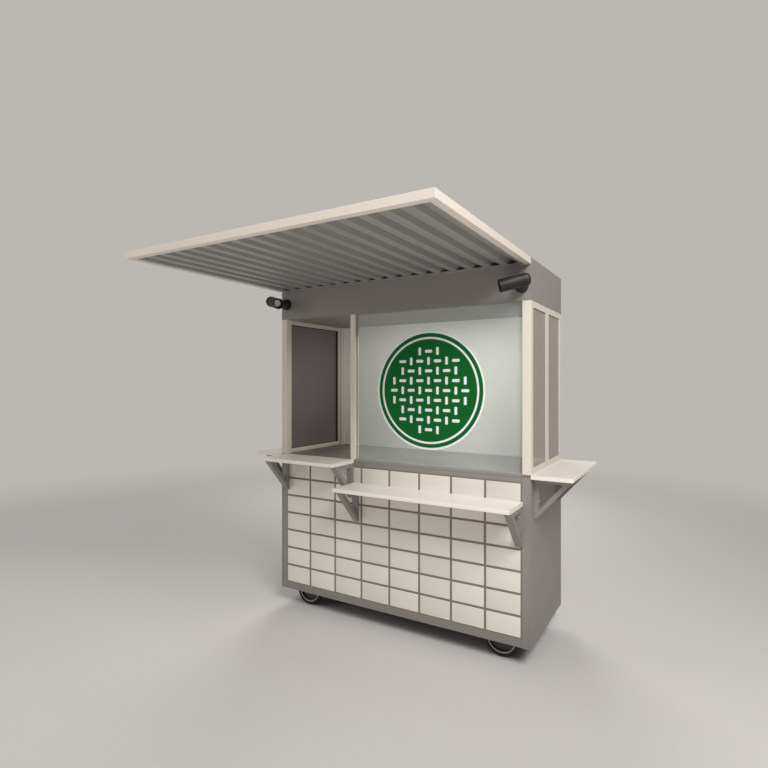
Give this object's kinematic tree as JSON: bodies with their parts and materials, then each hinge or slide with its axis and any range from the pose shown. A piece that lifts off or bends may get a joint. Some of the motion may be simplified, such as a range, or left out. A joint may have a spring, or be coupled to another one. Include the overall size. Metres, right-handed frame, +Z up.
{
  "type": "street kiosk",
  "caption": "Street kiosk on castors with a serving hatch, glazed front, tiled base, shelves on brackets, spot lamps and a ribbed canopy.",
  "frame": {"origin": "on the ground, under the middle of the whole object's box, canopy and side shelves included", "axes": "+X to the right of someone facing the serving side, +Y from the serving side to the back, +Z up"},
  "size_m": [2.5, 2.15, 2.5299],
  "materials": {
    "grey_paint": "satin powder coat",
    "grey_board": "painted board",
    "floor_board": "plain birch plywood",
    "tile": "glazed tiles with grey joints",
    "worktop": "dark grey laminate",
    "zinc": "zinc plated",
    "cream_paint": "satin powder coat",
    "cream_wood": "painted timber",
    "cream_board": "painted board",
    "white_board": "painted board",
    "clear_glass": "clear, faintly green",
    "tinted_glass": "tinted",
    "ribbed_sheet": "painted grey",
    "lamp_black": "black powder coat",
    "lens_glass": "frosted",
    "tyre": "black rubber",
    "wheel_rim": "moulded, with a pale ring"
  },
  "bodies": {
    "kiosk": {"base_posts": "grey_paint", "bottom_rails": "grey_paint", "top_rails": "grey_paint", "chassis_beams": "grey_paint", "castor_bearers": "grey_paint", "base_floor": "floor_board", "front_tile_board": "tile", "base_side_panels": "grey_board", "base_back_panel": "grey_board", "worktop": "worktop", "castor_forks": "zinc", "castor_axles": "zinc", "corner_posts": "cream_paint", "hatch_mullion": "cream_paint", "front_glass": "clear_glass", "rear_panel": "white_board", "window_rails": "cream_wood", "window_stiles": "cream_wood", "side_glass": "tinted_glass", "fascia_front": "grey_board", "fascia_back": "grey_board", "fascia_sides": "grey_board", "ceiling_board": "grey_board", "roof_board": "grey_board", "canopy_side_bars": "cream_paint", "canopy_front_bar": "cream_paint", "canopy_ledge": "ribbed_sheet", "canopy_sheet": "ribbed_sheet", "counter_shelf": "cream_board", "counter_brackets": "grey_paint", "long_shelf": "cream_board", "long_shelf_brackets": "grey_paint", "side_shelves": "cream_board", "side_shelf_brackets": "grey_paint", "lamp_feet": "lamp_black"},
    "wheel_front_left": {"wheel_front_left_tyre": "tyre", "wheel_front_left_rim": "wheel_rim"},
    "wheel_front_right": {"wheel_front_right_tyre": "tyre", "wheel_front_right_rim": "wheel_rim"},
    "wheel_back_left": {"wheel_back_left_tyre": "tyre", "wheel_back_left_rim": "wheel_rim"},
    "wheel_back_right": {"wheel_back_right_tyre": "tyre", "wheel_back_right_rim": "wheel_rim"},
    "left_lamp": {"left_lamp_head": "lamp_black", "left_lamp_lens": "lens_glass"},
    "right_lamp": {"right_lamp_head": "lamp_black", "right_lamp_lens": "lens_glass"}
  },
  "joints": [
    {"name": "wheel_front_left_spin", "type": "hinge", "parent": "kiosk", "child": "wheel_front_left", "pos_m": [-0.787, 0.376, 0.12], "axis": [0, 1, 0], "continuous": true},
    {"name": "wheel_front_right_spin", "type": "hinge", "parent": "kiosk", "child": "wheel_front_right", "pos_m": [0.787, 0.376, 0.12], "axis": [0, 1, 0], "continuous": true},
    {"name": "wheel_back_left_spin", "type": "hinge", "parent": "kiosk", "child": "wheel_back_left", "pos_m": [-0.787, 0.974, 0.12], "axis": [0, 1, 0], "continuous": true},
    {"name": "wheel_back_right_spin", "type": "hinge", "parent": "kiosk", "child": "wheel_back_right", "pos_m": [0.787, 0.974, 0.12], "axis": [0, 1, 0], "continuous": true},
    {"name": "left_lamp_tilt", "type": "hinge", "parent": "kiosk", "child": "left_lamp", "pos_m": [-0.944, 0.125, 2.385], "axis": [0, 1, 0], "range_deg": [-25, 80]},
    {"name": "right_lamp_tilt", "type": "hinge", "parent": "kiosk", "child": "right_lamp", "pos_m": [0.944, 0.125, 2.357], "axis": [0, -1, 0], "range_deg": [-25, 80]}
  ]
}
